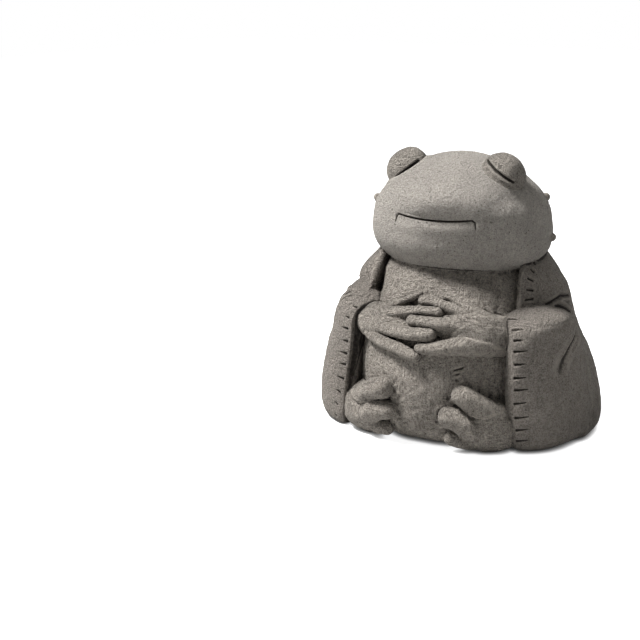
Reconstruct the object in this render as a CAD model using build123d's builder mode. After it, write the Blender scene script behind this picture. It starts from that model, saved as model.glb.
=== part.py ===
from build123d import *
import math
import os

# A seated frog in an open robe, its hands laced over its belly: a cast-stone ornament.
# The real ornament is one casting. Its sculpted masses are separate solids here that meet
# face to face, the smaller ones cut by the larger, as a modeller would build it up.
# Frame: Z up, the frog faces -Y, its own left is +X, origin at the middle of the base.

# Overall masses
robe_half_width = 140.0
robe_front_reach = 111.0
robe_back_reach = 112.0
robe_setback = 8.0
robe_height = 186.0
torso_half_width = 98.0
torso_front_reach = 111.0
torso_back_reach = 92.0
torso_height = 176.0

# Head
head_half_width = 90.0
head_front_reach = 74.0
head_back_reach = 76.0
head_forward = 8.0
head_bottom = 150.0
head_height = 119.0

# Mouth line, cut into the head
mouth_height = 215.0
mouth_half_width = 37.5
mouth_drop = 2.5
mouth_corner_fall = 9.0
mouth_corner_out = 4.0
mouth_line_width = 1.8
mouth_line_depth = 3.0

# Eyelids: long domes whose closed slit slopes down and out
eye_spread = 49.0
eye_forward = 30.0
eye_height = 253.0
eye_half_length = 22.0
eye_radius = 19.0
eye_slope = 37.0
slit_half_length = 15.5
slit_inward = 3.5
slit_lift = 2.5
slit_width = 1.8
slit_depth = 2.4

# Warts on the sides and back of the head
wart_radius = 4.2
wart_proud = 2.8

# Robe opening: cuffs below the arms, lapels above them
cuff_foot_half_gap = 87.0
cuff_top_half_gap = 69.0
cuff_top_height = 131.0
lapel_half_gap = 73.0
lapel_top_half_gap = 68.0
opening_back = 12.0

# Sleeves: hanging lobes outside the robe
left_sleeve_height = 135.0
right_sleeve_height = 141.0
sleeve_half_width = 46.0
sleeve_half_depth = 67.0
sleeve_side = 93.0
sleeve_forward = 18.0

# Stitches: short cuts beside the edges of the cuffs and the lapels
cuff_stitch_run = 10.0
lapel_stitch_run = 4.5
stitch_width = 1.8
stitch_depth = 2.2
cuff_stitch_margin = 9.0
lapel_stitch_margin = 4.0
cuff_stitches = 11
cuff_stitch_pitch = 11.5
cuff_stitch_first = 8.0
lapel_stitches = 4
lapel_stitch_pitch = 8.5
lapel_stitch_first = 140.0

# Forearms, hands and fingers
wrist_side = 60.0
wrist_half_height = 17.5
hand_height = 108.0
finger_radius = 6.2

# Feet and toes
foot_side = 60.0
foot_forward = 70.0
foot_rise = 16.0
foot_radius = 27.0
foot_half_height = 30.0
toe_radius = 10.0

# One overrun serves every cut that runs past a face
overrun = 20.0

# Levels of a mass, as shares of its height, half width, front reach and back reach
torso_shares = (
    (0.0, 0.96, 0.89, 0.96),
    (0.06, 1.0, 0.945, 1.0),
    (0.24, 1.0, 1.0, 1.0),
    (0.42, 0.98, 1.0, 0.98),
    (0.58, 0.93, 0.94, 0.94),
    (0.72, 0.86, 0.82, 0.86),
    (0.86, 0.75, 0.67, 0.76),
    (1.0, 0.6, 0.5, 0.62),
)
robe_shares = (
    (0.0, 0.97, 0.95, 0.965),
    (0.04, 0.995, 0.985, 0.99),
    (0.13, 1.0, 1.0, 1.0),
    (0.25, 0.98, 0.98, 0.975),
    (0.38, 0.92, 0.935, 0.91),
    (0.51, 0.835, 0.87, 0.84),
    (0.65, 0.77, 0.82, 0.76),
    (0.78, 0.72, 0.8, 0.66),
    (0.89, 0.63, 0.76, 0.53),
    (1.0, 0.51, 0.56, 0.42),
)
head_shares = (
    (0.035, 0.45, 0.42, 0.42),
    (0.12, 0.78, 0.74, 0.72),
    (0.24, 0.955, 0.9, 0.92),
    (0.36, 1.0, 0.965, 0.99),
    (0.48, 0.99, 0.99, 1.0),
    (0.6, 0.945, 1.0, 0.96),
    (0.7, 0.855, 0.965, 0.87),
    (0.8, 0.705, 0.84, 0.74),
    (0.89, 0.53, 0.65, 0.57),
    (0.96, 0.32, 0.4, 0.36),
    (0.985, 0.2, 0.25, 0.22),
    (0.996, 0.1, 0.13, 0.115),
)
# Levels of a sleeve, as shares of its height, side, forward place, half width and half depth
sleeve_shares = {
    "left": (
        (0.0, 0.96, 0.9, 0.92, 0.97),
        (0.05, 0.975, 0.93, 0.97, 0.99),
        (0.22, 1.0, 1.0, 0.99, 1.0),
        (0.45, 0.965, 1.1, 0.955, 0.97),
        (0.65, 0.93, 1.35, 0.92, 0.89),
        (0.8, 0.945, 1.95, 0.86, 0.72),
        (0.91, 0.99, 2.5, 0.69, 0.5),
        (0.965, 1.02, 2.6, 0.46, 0.34),
    ),
    "right": (
        (0.0, 0.96, 0.9, 0.92, 0.97),
        (0.05, 0.975, 0.93, 0.97, 0.99),
        (0.22, 1.0, 1.0, 0.97, 0.98),
        (0.45, 0.96, 1.1, 0.93, 0.93),
        (0.65, 0.9, 1.25, 0.865, 0.85),
        (0.8, 0.87, 1.45, 0.81, 0.78),
        (0.91, 0.85, 1.55, 0.68, 0.66),
        (0.975, 0.85, 1.6, 0.45, 0.44),
    ),
}
# The seam between sleeve and robe in the side view, as shares of sleeve depth and height
seam_shares = ((-0.37, 0.0), (0.07, 0.57), (-0.07, 0.89), (-0.88, 1.0))
# A limb's roundness: places along it and its size there
round_shares = (
    (0.0, 0.3),
    (0.03, 0.62),
    (0.1, 0.92),
    (0.2, 1.0),
    (0.5, 1.0),
    (0.8, 1.0),
    (0.9, 0.92),
    (0.97, 0.62),
    (1.0, 0.3),
)
# Turns of an egg's circles, as shares of a quarter turn
egg_turn_shares = (-0.93, -0.8, -0.6, -0.35, 0.0, 0.35, 0.6, 0.8, 0.93)
# Hand courses: shares of the torso's half width and front reach and of the wrist's half height
hand_shares = {
    "left": ((0.95, 0.42, -0.6), (0.71, 0.67, -0.06), (0.48, 0.82, 0.2), (0.18, 0.91, 0.3)),
    "right": ((0.95, 0.42, -0.6), (0.73, 0.66, -0.06), (0.55, 0.78, 0.1), (0.36, 0.86, 0.05)),
}
hand_depth_share = 0.7
# Finger courses over the belly: shares of the wrist's side and half height, then of how proud
finger_shares = {
    "left_little_finger": (
        1.1,
        (1.0, -0.15, 0.9),
        (0.62, -0.25, 0.9),
        (0.29, -0.36, 0.85),
        (-0.1, -0.5, 0.7),
    ),
    "left_middle_finger": (
        1.0,
        (0.85, 0.45, 0.9),
        (0.37, 0.72, 1.1),
        (0.06, 0.72, 1.2),
        (-0.3, 0.72, 1.0),
    ),
    "left_index_finger": (
        0.85,
        (0.8, 1.05, 0.9),
        (0.45, 1.5, 0.8),
        (0.2, 1.7, 0.8),
        (-0.09, 1.78, 0.8),
    ),
    "left_thumb": (
        0.85,
        (0.85, 0.85, 0.7),
        (0.6, 1.5, 0.6),
        (0.4, 1.88, 0.6),
        (0.18, 2.12, 0.6),
    ),
    "right_index_finger": (
        0.95,
        (-0.95, 0.6, 0.9),
        (-0.5, 1.11, 0.9),
        (-0.11, 1.35, 0.9),
        (0.28, 1.27, 0.9),
    ),
    "right_middle_finger": (
        1.05,
        (-0.85, 0.03, 0.9),
        (-0.48, 0.09, 1.0),
        (-0.22, 0.1, 1.0),
        (0.29, 0.11, 0.9),
    ),
    "right_little_finger": (
        0.85,
        (-0.95, -0.5, 0.9),
        (-0.55, -0.66, 0.9),
        (-0.27, -0.76, 0.9),
        (0.02, -1.05, 0.9),
    ),
    "right_thumb": (
        0.7,
        (-0.9, 0.85, 0.8),
        (-0.65, 1.35, 0.7),
        (-0.43, 1.7, 0.6),
        (-0.18, 2.15, 0.4),
    ),
}
# Toe courses over the belly, in the same way: shares of the foot's side and half height
toe_shares = {
    "left": {
        "upper_toe": (1.0, (1.15, 1.1, 1.0), (0.88, 1.6, 0.7), (0.58, 1.92, 0.5)),
        "middle_toe": (1.0, (0.95, 0.85, 0.9), (0.68, 1.05, 0.7), (0.36, 1.18, 0.5)),
        "lower_toe": (0.85, (0.95, 0.25, 0.6), (0.7, 0.3, 0.6), (0.42, 0.34, 0.5)),
    },
    "right": {
        "upper_toe": (1.0, (1.15, 1.0, 1.0), (0.82, 1.5, 0.7), (0.44, 1.88, 0.5)),
        "middle_toe": (1.0, (0.95, 0.8, 0.9), (0.68, 0.95, 0.7), (0.35, 1.0, 0.5)),
        "lower_toe": (0.85, (0.95, 0.25, 0.6), (0.7, 0.28, 0.6), (0.43, 0.32, 0.5)),
    },
}
# Warts on each side: shares of the head's height and of a half turn from the front
wart_shares = {
    "left": ((0.645, 0.62), (0.35, 0.54), (0.54, 0.7), (0.78, 0.76)),
    "right": ((0.6, 0.4), (0.4, 0.58), (0.6, 0.68), (0.8, 0.8)),
}

sides = {"left": 1, "right": -1}
sleeve_heights = {"left": left_sleeve_height, "right": right_sleeve_height}


def share_at(shares, level, column):
    """A column of a table of levels at a height between two of them."""
    for lower, upper in zip(shares, shares[1:]):
        if level <= upper[0]:
            climb = (level - lower[0]) / (upper[0] - lower[0])
            return lower[column] + climb * (upper[column] - lower[column])
    return shares[-1][column]


def oval(plane, side, forward, half_width, front_reach, back_reach):
    """A level of a mass: four quarter ellipses, the front pair and the back pair."""
    centre = (side, -forward)
    with BuildSketch(plane) as section:
        with BuildLine():
            EllipticalCenterArc(centre, half_width, back_reach, start_angle=0, arc_size=90)
            EllipticalCenterArc(centre, half_width, back_reach, start_angle=90, arc_size=90)
            EllipticalCenterArc(centre, half_width, front_reach, start_angle=180, arc_size=90)
            EllipticalCenterArc(centre, half_width, front_reach, start_angle=270, arc_size=90)
        make_face()
    return section.sketch.face()


def body_levels(shares, height, forward, half_width, front_reach, back_reach):
    """The levels of a mass that stands on the ground."""
    levels = []
    for level, wide, front, back in shares:
        plane = Plane.XY.offset(level * height)
        levels.append(oval(plane, 0, forward, wide * half_width, front * front_reach, back * back_reach))
    return levels


def head_levels(inset):
    """The levels of the head, drawn in by inset, between its two poles."""
    levels = [Vertex(0, -head_forward, head_bottom + inset)]
    for level, wide, front, back in head_shares:
        plane = Plane.XY.offset(head_bottom + level * head_height)
        half_width = wide * head_half_width - inset
        reaches = (front * head_front_reach - inset, back * head_back_reach - inset)
        levels.append(oval(plane, 0, head_forward, half_width, *reaches))
    levels.append(Vertex(0, -head_forward, head_bottom + head_height - inset))
    return levels


def sleeve_levels(side):
    """The levels of a sleeve, up to its rounded top."""
    levels = []
    for level, out, forward, wide, deep in sleeve_shares[side]:
        half_depth = deep * sleeve_half_depth
        plane = Plane.XY.offset(level * sleeve_heights[side])
        place = (sides[side] * out * sleeve_side, forward * sleeve_forward)
        levels.append(oval(plane, *place, wide * sleeve_half_width, half_depth, half_depth))
    levels.append(Vertex(place[0], -place[1], sleeve_heights[side]))
    return levels


def limb_levels(points, half_height, depth_share):
    """Ovals along a smooth curve through the points, small at its two rounded ends."""
    with BuildLine() as course:
        Spline(*points)
    path = course.edge()
    levels = []
    for along, size in round_shares:
        forward = path % along
        plane = Plane(origin=path @ along, x_dir=forward.cross(Vector(0, 0, 1)), z_dir=forward)
        with BuildSketch(plane) as section:
            Ellipse(size * depth_share * half_height, size * half_height)
        levels.append(section.sketch.face())
    return levels


def front_at(shares, height, half_width, front_reach, place, rise):
    """How far forward a mass reaches at a place in the front view."""
    level = rise / height
    across = place / (share_at(shares, level, 1) * half_width)
    return share_at(shares, level, 2) * front_reach * math.sqrt(1 - across**2)


def belly_front(place, rise):
    """The front of the torso, as above."""
    return front_at(torso_shares, torso_height, torso_half_width, torso_front_reach, place, rise)


def belly_course(shares, side, height, half_height, radius):
    """Points over the belly, from shares of a side, of a half height about a height and of a radius."""
    course = []
    for out, up, proud in shares:
        place = out * side
        rise = height + up * half_height
        course.append((place, -belly_front(place, rise) - proud * radius, rise))
    return course


def robe_front(place, rise):
    """The front of the robe, as above."""
    return front_at(robe_shares, robe_height, robe_half_width, robe_front_reach, place, rise) - robe_setback


def sleeve_front(side, place, rise):
    """The front of a sleeve, as above."""
    level = rise / sleeve_heights[side]
    out, forward, wide, deep = (share_at(sleeve_shares[side], level, column) for column in range(1, 5))
    across = (place - out * sleeve_side) / (wide * sleeve_half_width)
    return forward * sleeve_forward + deep * sleeve_half_depth * math.sqrt(1 - across**2)


def stitch(sign, near, far, rise):
    """A small bar across the surface, half sunk, between two places and how far forward they lie."""
    start = Vector(sign * near[0], -near[1], rise)
    end = Vector(sign * far[0], -far[1], rise)
    lie = Plane(origin=(start + end) / 2, x_dir=end - start, z_dir=(0, 0, 1))
    with BuildPart() as bar:
        with BuildSketch(lie):
            Rectangle((end - start).length, 2 * stitch_depth)
        extrude(amount=stitch_width / 2, both=True)
    return bar.part


def cuff_row(side):
    """The stitches beside one cuff's edge, from the hem up."""
    row = []
    for step in range(cuff_stitches):
        rise = cuff_stitch_first + step * cuff_stitch_pitch
        edge = cuff_foot_half_gap - rise / cuff_top_height * (cuff_foot_half_gap - cuff_top_half_gap)
        near = edge + cuff_stitch_margin
        far = near + cuff_stitch_run
        ends = ((near, sleeve_front(side, near, rise)), (far, sleeve_front(side, far, rise)))
        row.append(stitch(sides[side], *ends, rise))
    return row


def lapel_row(sign):
    """The stitches beside one lapel's edge, from the arm up."""
    row = []
    for step in range(lapel_stitches):
        rise = lapel_stitch_first + step * lapel_stitch_pitch
        climb = (rise - cuff_top_height) / (robe_height - cuff_top_height)
        edge = lapel_half_gap - climb * (lapel_half_gap - lapel_top_half_gap)
        near = edge + lapel_stitch_margin
        far = near + lapel_stitch_run
        row.append(stitch(sign, (near, robe_front(near, rise)), (far, robe_front(far, rise)), rise))
    return row


def egg(plane, half_length, radius):
    """An egg shape about the plane's normal: circles at even turns between its two poles."""
    levels = [Vertex(*(plane.origin - plane.z_dir * half_length))]
    for turn_share in egg_turn_shares:
        turn = turn_share * math.pi / 2
        with BuildSketch(plane.offset(half_length * math.sin(turn))) as section:
            Circle(radius * math.cos(turn))
        levels.append(section.sketch.face())
    levels.append(Vertex(*(plane.origin + plane.z_dir * half_length)))
    with BuildPart() as mass:
        loft(sections=levels)
    return mass.part


def largest(part):
    """The main solid of a cut part, without the crumbs that a cut can leave."""
    return part.solids().sort_by(SortBy.VOLUME)[-1]


parts = {}

# Torso: belly and chest, its flat top buried in the head
with BuildPart() as torso:
    loft(
        sections=body_levels(
            torso_shares, torso_height, 0, torso_half_width, torso_front_reach, torso_back_reach
        )
    )
parts["torso"] = torso.part

# Head: a wide bun, full in the cheeks, with the mouth line cut into it
with BuildPart() as head_mass:
    loft(sections=head_levels(0))
with BuildPart() as mouth_cut:
    with BuildSketch(Plane.XZ):
        with BuildLine():
            ThreePointArc(
                (-mouth_half_width, mouth_height),
                (0, mouth_height - mouth_drop),
                (mouth_half_width, mouth_height),
            )
            for sign in sides.values():
                Line(
                    (sign * mouth_half_width, mouth_height),
                    (sign * (mouth_half_width + mouth_corner_out), mouth_height - mouth_corner_fall),
                )
        trace(line_width=mouth_line_width)
    extrude(amount=head_forward + head_front_reach + overrun)
    loft(sections=head_levels(mouth_line_depth), mode=Mode.SUBTRACT)
with BuildPart() as head:
    add(head_mass.part)
    add(torso.part, mode=Mode.SUBTRACT)
    add(mouth_cut.part, mode=Mode.SUBTRACT)
parts["head"] = largest(head.part)

# Robe and sleeves in one: a shell round the torso, open down the front
with BuildPart() as garment:
    loft(
        sections=body_levels(
            robe_shares, robe_height, -robe_setback, robe_half_width, robe_front_reach, robe_back_reach
        )
    )
    for side in sides:
        loft(sections=sleeve_levels(side))
    with BuildSketch(Plane.XZ.offset(opening_back)):
        with BuildLine():
            Polyline(
                (-cuff_foot_half_gap, 0),
                (-cuff_top_half_gap, cuff_top_height),
                (-lapel_half_gap, cuff_top_height),
                (-lapel_top_half_gap, robe_height),
                (lapel_top_half_gap, robe_height),
                (lapel_half_gap, cuff_top_height),
                (cuff_top_half_gap, cuff_top_height),
                (cuff_foot_half_gap, 0),
                close=True,
            )
        make_face()
    extrude(amount=torso_front_reach + overrun, mode=Mode.SUBTRACT)
    add(torso.part, mode=Mode.SUBTRACT)
    add(head_mass.part, mode=Mode.SUBTRACT)

# Each sleeve is what hangs in front of its seam, with stitches beside its cuff
seams = {}
for side, sign in sides.items():
    height = sleeve_heights[side]
    with BuildPart() as seam:
        with BuildSketch(Plane.YZ.offset(sign * opening_back)):
            with BuildLine():
                Polyline(
                    (-torso_front_reach - overrun, 0),
                    *[(deep * sleeve_half_depth, rise * height) for deep, rise in seam_shares],
                    (-torso_front_reach - overrun, height),
                    close=True,
                )
            make_face()
        extrude(amount=sign * robe_half_width)
    seams[side] = seam.part
    with BuildPart() as sleeve:
        add(garment.part)
        add(seam.part, mode=Mode.INTERSECT)
        add(cuff_row(side), mode=Mode.SUBTRACT)
    parts[f"{side}_sleeve"] = largest(sleeve.part)

# Robe: the rest of the garment, with stitches beside its lapels
with BuildPart() as robe:
    add(garment.part)
    for side, sign in sides.items():
        add(seams[side], mode=Mode.SUBTRACT)
        add(lapel_row(sign), mode=Mode.SUBTRACT)
parts["robe"] = largest(robe.part)

# Forearms and hands: each comes out of its cuff and lies flat on the belly
for side, sign in sides.items():
    course = [
        (sign * out * torso_half_width, -ahead * torso_front_reach, hand_height + up * wrist_half_height)
        for out, ahead, up in hand_shares[side]
    ]
    with BuildPart() as hand:
        loft(sections=limb_levels(course, wrist_half_height, hand_depth_share))
        add(torso.part, mode=Mode.SUBTRACT)
        add(garment.part, mode=Mode.SUBTRACT)
    parts[f"{side}_hand"] = largest(hand.part)

# Fingers, laced: each lies on the belly and gives way to those made before it
laced = []
for name, (size, *shares) in finger_shares.items():
    course = belly_course(shares, wrist_side, hand_height, wrist_half_height, finger_radius)
    with BuildPart() as finger:
        loft(sections=limb_levels(course, size * finger_radius, 1))
        for other in [torso.part, parts["left_hand"], parts["right_hand"], *laced]:
            add(other, mode=Mode.SUBTRACT)
    parts[name] = largest(finger.part)
    laced.append(parts[name])

# Feet: a mound beside each cuff and three toes that turn inward over the belly
for side, sign in sides.items():
    upright = Plane(origin=(sign * foot_side, -foot_forward, foot_rise), z_dir=(0, 0, 1))
    with BuildPart() as foot:
        add(egg(upright, foot_half_height, foot_radius))
        split(bisect_by=Plane.XY)
        add(torso.part, mode=Mode.SUBTRACT)
        add(garment.part, mode=Mode.SUBTRACT)
    parts[f"{side}_foot"] = largest(foot.part)
    made = [parts[f"{side}_foot"]]
    for toe_name, (size, *shares) in toe_shares[side].items():
        course = belly_course(shares, sign * foot_side, 0, foot_half_height, toe_radius)
        with BuildPart() as toe:
            loft(sections=limb_levels(course, size * toe_radius, 1))
            split(bisect_by=Plane.XY)
            for other in [torso.part, *made]:
                add(other, mode=Mode.SUBTRACT)
        parts[f"{side}_{toe_name}"] = largest(toe.part)
        made.append(parts[f"{side}_{toe_name}"])

# Eyelids: domes on the head, each with a closed slit along its front
for side, sign in sides.items():
    slope = math.radians(eye_slope)
    along = (sign * math.cos(slope), 0, -math.sin(slope))
    centre = (sign * eye_spread, -eye_forward, eye_height)
    dome = Plane(origin=centre, x_dir=(0, 1, 0), z_dir=along)
    with BuildPart() as slit:
        with BuildSketch(Plane(origin=centre, x_dir=along, z_dir=(0, -1, 0))):
            with Locations((-slit_inward, sign * slit_lift)):
                Rectangle(2 * slit_half_length, slit_width)
        extrude(amount=eye_radius + overrun)
        add(egg(dome, eye_half_length - slit_depth, eye_radius - slit_depth), mode=Mode.SUBTRACT)
    with BuildPart() as eyelid:
        add(egg(dome, eye_half_length, eye_radius))
        add(head_mass.part, mode=Mode.SUBTRACT)
        add(slit.part, mode=Mode.SUBTRACT)
    parts[f"{side}_eyelid"] = largest(eyelid.part)

# Warts: small domes on the sides and back of the head
with BuildPart() as head_warts:
    for side, sign in sides.items():
        for level, turn in wart_shares[side]:
            wide, front, back = (share_at(head_shares, level, column) for column in range(1, 4))
            reach = front * head_front_reach if turn < 1 / 2 else back * head_back_reach
            heading = math.pi * turn
            sunk = wart_radius - wart_proud
            out = (wide * head_half_width - sunk) * math.sin(heading)
            ahead = head_forward + (reach - sunk) * math.cos(heading)
            with Locations((sign * out, -ahead, head_bottom + level * head_height)):
                Sphere(wart_radius)
    add(head_mass.part, mode=Mode.SUBTRACT)
parts["head_warts"] = head_warts.part

os.makedirs("parts", exist_ok=True)
for name, part in parts.items():
    part.label = name
    export_step(part, f"parts/{name}.step")
    print(name, round(part.volume), part.is_valid, part.bounding_box())
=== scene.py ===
# %% [markdown]
# # A seated stone frog, built from arrays
#
# The real ornament is one rough casting: a frog in an open robe, eyes closed, with its hands
# laced over its belly. Here each sculpted mass is its own surface, worked out with numpy as a
# grid of points, and it stands exactly where the measured solid of the same name stands.
# All shapes are written in millimetres and become metres when a mesh is made.

# %% Load the measured frame
import math

import bpy
import numpy as np
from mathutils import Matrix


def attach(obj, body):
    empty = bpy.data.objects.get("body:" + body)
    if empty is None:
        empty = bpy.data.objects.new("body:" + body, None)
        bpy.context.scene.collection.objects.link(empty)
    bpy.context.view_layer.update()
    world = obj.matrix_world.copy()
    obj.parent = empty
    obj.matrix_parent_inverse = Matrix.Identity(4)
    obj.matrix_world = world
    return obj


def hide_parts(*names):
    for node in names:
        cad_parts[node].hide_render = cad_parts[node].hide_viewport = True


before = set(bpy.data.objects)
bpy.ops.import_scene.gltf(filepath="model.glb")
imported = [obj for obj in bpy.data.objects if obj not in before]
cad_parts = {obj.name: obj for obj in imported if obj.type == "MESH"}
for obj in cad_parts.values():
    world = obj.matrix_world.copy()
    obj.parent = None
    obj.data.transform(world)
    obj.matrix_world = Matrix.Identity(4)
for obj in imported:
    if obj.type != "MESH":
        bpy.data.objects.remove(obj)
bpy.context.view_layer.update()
MM = 0.001
# The frog's own left is towards +x, on the viewer's right
sides = {"left": 1, "right": -1}
print("nodes:", len(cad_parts))

# %% [markdown]
# ## Tables that become smooth shapes
#
# A lathe profile or a row of ribs could describe the body, but both need many hand-set points.
# A short table of levels is easier to read: each row gives a height and the sizes there, and a
# smooth curve runs through the rows. The same helper draws the fingers' courses.


# %% Smooth curves through the rows of a table
def columns_at(table, places):
    """Every column of a table at new places of its first column.

    Between two rows the curve is a cubic whose slope at each row is the slope there of the
    line through the row's neighbours, so it passes through every row without a kink.
    """
    table = np.asarray(table, float)
    where, values = table[:, 0], table[:, 1:]
    slopes = np.gradient(values, where, axis=0)
    places = np.clip(np.asarray(places, float), where[0], where[-1])
    row = np.clip(np.searchsorted(where, places, side="right") - 1, 0, len(where) - 2)
    span = (where[row + 1] - where[row])[..., None]
    t = (places - where[row])[..., None] / span
    rise = values[row + 1] - values[row]
    return (
        values[row]
        + rise * t**2 * (3 - 2 * t)
        + span * slopes[row] * t * (1 - t) ** 2
        - span * slopes[row + 1] * t**2 * (1 - t)
    )


def spaced(low, high, count, *dense):
    """Places from low to high, closer together near each (place, width, gain) of dense.

    The density is 1 + gain * exp(-((x - place) / width)^2); its running total, read backwards,
    gives the places.
    """
    fine = np.linspace(low, high, 4000)
    density = np.ones_like(fine)
    for place, width, gain in dense:
        density += gain * np.exp(-(((fine - place) / width) ** 2))
    total = np.cumsum(density)
    total = (total - total[0]) / (total[-1] - total[0])
    return np.interp(np.linspace(0, 1, count), total, fine)


print("halfway between two rows:", columns_at(((0, 0), (1, 10)), 0.5))

# %% [markdown]
# ## The clay's hand-worked unevenness
#
# No sculpted surface is a clean curve. Slow swells of a millimetre or so come from the
# modeller's hands, and brush marks lie over them. The swells belong in the mesh, because they
# change the outline; the brush marks and pits are finer than the mesh and go into the material.


# %% Random heights on a lattice
lattice = np.random.default_rng(11).uniform(-1, 1, (32, 32, 32))


def swells(points, size, shift=0.0):
    """Smooth random heights from -1 to 1 with swells of the given size.

    Each corner of a lattice of that size has a random height, and inside a cell the eight
    corners are blended by t * t * (3 - 2 * t) along each axis.
    """
    cell = points / size + shift
    low = np.floor(cell).astype(int)
    t = cell - low
    t = t * t * (3 - 2 * t)
    height = np.zeros(points.shape[:-1])
    for corner in np.ndindex(2, 2, 2):
        share = np.prod(np.where(corner, t, 1 - t), axis=-1)
        at = (low + corner) % 32
        height += share * lattice[at[..., 0], at[..., 1], at[..., 2]]
    return height


def worked(points, coarse=0.8, fine=0.3):
    """Hand-worked unevenness: four sizes of swells, from 26 mm down to 3 mm, added up."""
    return (
        coarse * swells(points, 26.0)
        + 0.5 * coarse * swells(points, 12.0, 5.3)
        + fine * swells(points, 6.0, 9.1)
        + 0.6 * fine * swells(points, 3.0, 2.7)
    )


print("lattice:", lattice.shape)

# %% [markdown]
# ## Pushing a surface in and out
#
# Details are added to a finished grid as a sculptor adds them: a thumb's push, a cut with the
# edge of a tool, a line where one lump of clay meets the next. Each is a height along the
# surface's own normal, so they can simply be added up.


# %% Normals, pushes and cuts
def unit(vectors):
    """The same vectors, one long."""
    return vectors / np.maximum(np.linalg.norm(vectors, axis=-1, keepdims=True), 1e-9)


def outward(grid):
    """Normals of a closed grid: differences along its columns crossed with those along its rows."""
    across = np.roll(grid, -1, 1) - np.roll(grid, 1, 1)
    along = np.gradient(grid, axis=0)
    normals = unit(np.cross(across, along))
    middle = grid.mean(axis=(0, 1))
    sign = np.sign(np.sum(normals * (grid - middle)))
    return sign * normals


def push(grid, place, radius, amount):
    """A soft push round a place: amount * exp(-(distance / radius)^2)."""
    distance = np.linalg.norm((grid - place) / radius, axis=-1)
    return amount * np.exp(-(distance**2))


def to_line(grid, line):
    """Distance to a broken line, and how far along it the nearest point lies, from 0 to 1."""
    line = np.asarray(line, float)
    lengths = np.linalg.norm(np.diff(line, axis=0), axis=1)
    starts = np.concatenate(([0], np.cumsum(lengths)))
    nearest = np.full(grid.shape[:-1], np.inf)
    along = np.zeros(grid.shape[:-1])
    for i in range(len(line) - 1):
        step = line[i + 1] - line[i]
        t = np.clip(((grid - line[i]) @ step) / lengths[i] ** 2, 0, 1)
        distance = np.linalg.norm(grid - (line[i] + t[..., None] * step), axis=-1)
        closer = distance < nearest
        nearest = np.where(closer, distance, nearest)
        along = np.where(closer, (starts[i] + t * lengths[i]) / starts[-1], along)
    return nearest, along


def cut(grid, line, width, depth, lip=0.0):
    """A cut along a line, shallower towards its ends, with a small burr beside it.

    depth * taper * exp(-(d / width)^2) goes down and lip * taper * exp(-(d / width - 1.9)^2)
    stands up, d being the distance to the line and taper 1 - |2 * along - 1|^6.
    """
    distance, along = to_line(grid, line)
    taper = 1 - np.abs(2 * along - 1) ** 6
    reach = distance / width
    return taper * (lip * np.exp(-((reach - 1.9) ** 2)) - depth * np.exp(-(reach**2)))


middle_of_cut = cut(np.array((5.0, 0, 0)), ((0, 0, 0), (10, 0, 0)), width=1, depth=2)
print("a cut 2 mm deep goes down", -float(middle_of_cut), "mm at its middle")

# %% [markdown]
# ## Where masses meet
#
# Two lumps of clay pressed together have a small soft fillet between them. For that a surface
# needs to know how far it is from its neighbour. An exact distance would be slow; for round
# limbs and oval masses a formula is close enough.


# %% How far a neighbour is
def limb_gap(points, line, radii):
    """Distance from points to a round limb: to its course, less its radius there.

    The course's two ends are first drawn in by the radius, because the limb's rounded tips end
    where the course does.
    """
    line = np.array(line, float)
    for end, next_one, radius in ((0, 1, radii[0]), (-1, -2, radii[-1])):
        step = line[next_one] - line[end]
        far = np.linalg.norm(step)
        line[end] = line[end] + step / far * min(radius, 0.9 * far)
    distance, along = to_line(points, line)
    return distance - np.interp(along, np.linspace(0, 1, len(radii)), radii)


def fillet(gap, reach):
    """How far a surface rises beside a neighbour: reach / 4 * (1 - gap / reach)^2 outside it."""
    outside = np.clip(1 - np.abs(gap) / reach, 0, 1)
    inside = np.clip(1 - np.abs(gap) / (0.6 * reach), 0, 1)
    return reach / 4 * np.where(gap > 0, outside, inside) ** 2


def crease_shade(gap, width=1.6):
    """Painted shade in the line where two masses meet: exp(-(gap / width)^2)."""
    return np.exp(-((gap / width) ** 2))


print("a fillet that reaches 4 mm rises", float(fillet(np.array(0.0), 4.0)), "mm where masses meet")

# %% [markdown]
# ## From a grid to a mesh
#
# Every piece is a grid of rows and columns whose columns close round. The first and last rows
# are closed by a strip that joins each column to its mirror column, which also works for the
# robe's horseshoe section, where a fan from the middle would not. Each point also stores how
# hollow the surface is there: hollows get painted shade and ridges a paler tone.


# %% Faces, volume and hollowness of a grid
def faces_of(rows, columns, start=0):
    """Quads between neighbouring rows and columns, and the two end strips."""
    index = start + np.arange(rows * columns).reshape(rows, columns)
    wrapped = np.concatenate((index, index[:, :1]), axis=1)
    walls = np.stack((wrapped[:-1, :-1], wrapped[:-1, 1:], wrapped[1:, 1:], wrapped[1:, :-1]), -1)
    half = np.arange(columns // 2 - 1)
    strip = np.stack((half, columns - 1 - half, columns - 2 - half, half + 1), -1)
    ends = np.concatenate((index[0][strip], index[-1][strip[:, ::-1]]))
    return np.concatenate((walls.reshape(-1, 4), ends))


def volume_of(points, quads):
    """Six times the signed volume: positive where the faces point outwards."""
    a, b, c, d = (points[quads[:, k]] for k in range(4))
    return np.sum(a * np.cross(b, c)) + np.sum(a * np.cross(c, d))


def hollowness(grid, normals, passes=5):
    """How far each point lies below the mean of the points round it, in millimetres."""
    soft = grid.copy()
    for _ in range(passes):
        rows = np.concatenate((soft[:1], soft[:-1])) + np.concatenate((soft[1:], soft[-1:]))
        soft = (2 * soft + rows + np.roll(soft, 1, 1) + np.roll(soft, -1, 1)) / 6
    return np.sum((soft - grid) * normals, axis=-1)


print("faces of a grid of 3 rows and 4 columns:", len(faces_of(3, 4)))

# %% Making a piece
# How far below its surroundings, in millimetres, a point counts as fully hollow
full_hollow = 0.5


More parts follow.
